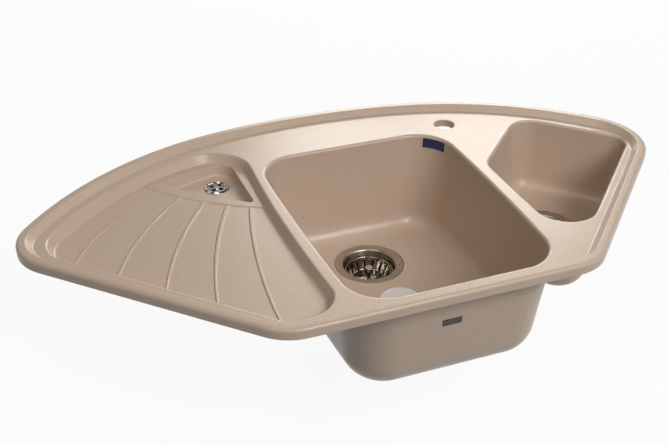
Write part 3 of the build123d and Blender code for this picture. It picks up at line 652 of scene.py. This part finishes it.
# %% Geometry Nodes: a screw thread
def make_thread_tree():
    tree = bpy.data.node_groups.new("screw_thread", "GeometryNodeTree")
    group_socket(tree, "Geometry", "INPUT", "NodeSocketGeometry")
    group_socket(tree, "Turns", "INPUT", "NodeSocketFloat", 6.0)
    group_socket(tree, "Radius", "INPUT", "NodeSocketFloat", 0.0239)
    group_socket(tree, "Height", "INPUT", "NodeSocketFloat", 0.02)
    group_socket(tree, "Ridge", "INPUT", "NodeSocketFloat", 0.001)
    group_socket(tree, "Foot", "INPUT", "NodeSocketVector")
    group_socket(tree, "Finish", "INPUT", "NodeSocketMaterial")
    group_socket(tree, "Geometry", "OUTPUT", "NodeSocketGeometry")
    given, out = add(tree, "NodeGroupInput"), add(tree, "NodeGroupOutput")
    line = add(
        tree, "GeometryNodeCurveSpiral", Resolution=64, Rotations=given.outputs["Turns"],
        Start_Radius=given.outputs["Radius"], End_Radius=given.outputs["Radius"],
        Height=given.outputs["Height"],
    )
    profile = add(tree, "GeometryNodeCurvePrimitiveCircle", Resolution=8, Radius=given.outputs["Ridge"])
    swept = add(tree, "GeometryNodeCurveToMesh", Curve=line.outputs[0], Profile_Curve=profile.outputs[0])
    swept.inputs["Fill Caps"].default_value = True
    placed = add(tree, "GeometryNodeTransform", Geometry=swept.outputs[0], Translation=given.outputs["Foot"])
    real = add(tree, "GeometryNodeRealizeInstances", Geometry=placed.outputs[0])
    set_finish(tree, real, given, out)
    return tree


def make_outlet_thread(bowl):
    low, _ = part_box(bowl + "_waste_body")
    middle, *_ = basket_sizes(bowl + "_basket")
    foot = (middle[0], middle[1], low[2] + THREAD_ABOVE_END)
    piece = run_nodes(
        bowl + "_outlet_thread", bpy.data.meshes.new("empty"), screw_thread,
        Turns=THREAD_LENGTH / THREAD_PITCH, Radius=OUTLET_RADIUS, Height=THREAD_LENGTH,
        Ridge=THREAD_RIDGE, Foot=foot, Finish=moulded["white_plastic"],
    )
    piece.data.shade_smooth()
    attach(piece, "sink")
    return piece


OUTLET_RADIUS = 23.7 * MM
THREAD_PITCH = 3.2 * MM
THREAD_LENGTH = 24.0 * MM
THREAD_RIDGE = 1.0 * MM
THREAD_ABOVE_END = 3.0 * MM
screw_thread = make_thread_tree()
threads = [make_outlet_thread(bowl) for bowl in BOWLS]
for piece in threads:
    print(piece.name, len(piece.data.polygons), "faces")

# %% [markdown]
# ## The studio
# Satin stone shows its shape by broad reflections, so the lamps are large. Two soft boxes in front
# give the walls their tone. Three low strips behind the sink reflect in the deck and make it
# brighter to the back. Weak boxes from the sides and above fill the bowls. The floor is white to
# the camera and in reflections, and dim to other light, so that the underside stays dark. The
# surroundings are white to the camera, pale near the horizon in reflections and dark overhead,
# which gives the polished steel its contrast.


# %% Floor
def mix_shaders(tree, factor, first, second):
    node = add(tree, "ShaderNodeMixShader", Fac=factor)
    tree.links.new(first.outputs[0], node.inputs[1])
    tree.links.new(second.outputs[0], node.inputs[2])
    return node


def make_floor():
    level = cad_low.z - FLOOR_GAP
    mesh = bpy.data.meshes.new("floor")
    corners = [(x * FLOOR_HALF, y * FLOOR_HALF, level) for x, y in ((-1, -1), (1, -1), (1, 1), (-1, 1))]
    mesh.from_pydata(corners, [], [(0, 1, 2, 3)])
    floor = bpy.data.objects.new("floor", mesh)
    bpy.context.scene.collection.objects.link(floor)
    material = bpy.data.materials.new("white_sweep")
    material.use_nodes = True
    tree = material.node_tree
    tree.nodes.clear()
    out = add(tree, "ShaderNodeOutputMaterial")
    lit = add(tree, "ShaderNodeBsdfDiffuse", Color=(0.8, 0.8, 0.8, 1))
    dim = add(tree, "ShaderNodeBsdfDiffuse", Color=(0.25, 0.25, 0.25, 1))
    white = add(tree, "ShaderNodeEmission", Color=(1, 1, 1, 1), Strength=1.0)
    path = add(tree, "ShaderNodeLightPath")
    mirrored = calculate(
        tree, "MAXIMUM", path.outputs["Is Glossy Ray"], path.outputs["Is Transmission Ray"],
    )
    seen = calculate(tree, "MAXIMUM", path.outputs["Is Camera Ray"], mirrored)
    mix = mix_shaders(tree, seen, dim, mix_shaders(tree, FLOOR_WHITENESS, lit, white))
    tree.links.new(mix.outputs[0], out.inputs["Surface"])
    mesh.materials.append(material)
    return floor


FLOOR_HALF = 7.0
FLOOR_GAP = 0.5 * MM
FLOOR_WHITENESS = 0.93
floor = make_floor()
print("floor at", round(cad_low.z - FLOOR_GAP, 4))

# %% Lamps
LAMP_DISTANCE = 3.0
LAMP_TARGET = Vector((0, 0, -0.05))

WHITE = (1.0, 1.0, 1.0)
WARM = (1.0, 0.955, 0.89)

# name, degrees clockwise from straight behind, degrees up, width, height, watts, colour
LAMPS = [
    ("front_box", 168, 40, 1.1, 1.1, 43.0, WHITE),
    ("front_right_box", 142, 40, 1.1, 1.1, 13.0, WHITE),
    ("back_left_strip", 20, 27, 0.6, 0.5, 11.0, WARM),
    ("back_middle_strip", 36, 27, 0.8, 0.5, 16.0, WARM),
    ("back_low_strip", 24, 6, 1.6, 0.7, 14.0, WARM),
    ("left_box", 238, 58, 1.3, 1.1, 10.0, WARM),
    ("left_back_box", 312, 52, 1.1, 1.1, 3.0, WHITE),
    ("right_box", 96, 42, 1.1, 1.1, 6.0, WHITE),
    ("top_box", 220, 76, 1.1, 1.1, 8.0, WARM),
]


def softbox(name, azimuth, elevation, width, height, power, colour):
    turn, rise = math.radians(azimuth), math.radians(elevation)
    level = math.cos(rise)
    towards = Vector((math.sin(turn) * level, math.cos(turn) * level, math.sin(rise)))
    data = bpy.data.lights.new(name, "AREA")
    data.shape = "RECTANGLE"
    data.size, data.size_y = width, height
    data.energy = power
    data.color = colour
    lamp = bpy.data.objects.new(name, data)
    lamp.location = LAMP_TARGET + towards * LAMP_DISTANCE
    lamp.rotation_euler = (-towards).to_track_quat("-Z", "Y").to_euler()
    bpy.context.scene.collection.objects.link(lamp)
    return lamp


for lamp in LAMPS:
    softbox(*lamp)
print("lamps", [name for name, *_ in LAMPS])


# %% Surroundings
def make_surroundings(glow, reflected):
    world = bpy.data.worlds.new("studio")
    bpy.context.scene.world = world
    world.use_nodes = True
    tree = world.node_tree
    tree.nodes.clear()
    out = add(tree, "ShaderNodeOutputWorld")
    path = add(tree, "ShaderNodeLightPath")
    dim = add(tree, "ShaderNodeBackground", Color=(1, 1, 1, 1), Strength=glow)
    place = add(tree, "ShaderNodeTexCoord").outputs["Generated"]
    rise = add(tree, "ShaderNodeSeparateXYZ", Vector=place).outputs["Z"]
    strength = remap(tree, rise, reflected, CEILING_GLOW, WALL_TOP, CEILING_EDGE)
    mirrored = add(tree, "ShaderNodeBackground", Color=(1, 1, 1, 1), Strength=strength)
    white = add(tree, "ShaderNodeBackground", Color=(1, 1, 1, 1), Strength=1.0)
    reflections = mix_shaders(tree, path.outputs["Is Glossy Ray"], dim, mirrored)
    mix = mix_shaders(tree, path.outputs["Is Camera Ray"], reflections, white)
    tree.links.new(mix.outputs[0], out.inputs["Surface"])


# heights here are the z of a direction, from 0 at the horizon to 1 straight up
WALL_TOP = 0.42
CEILING_EDGE = 0.6
CEILING_GLOW = 0.08
make_surroundings(glow=0.02, reflected=0.6)
print("surroundings", bpy.context.scene.world.name)
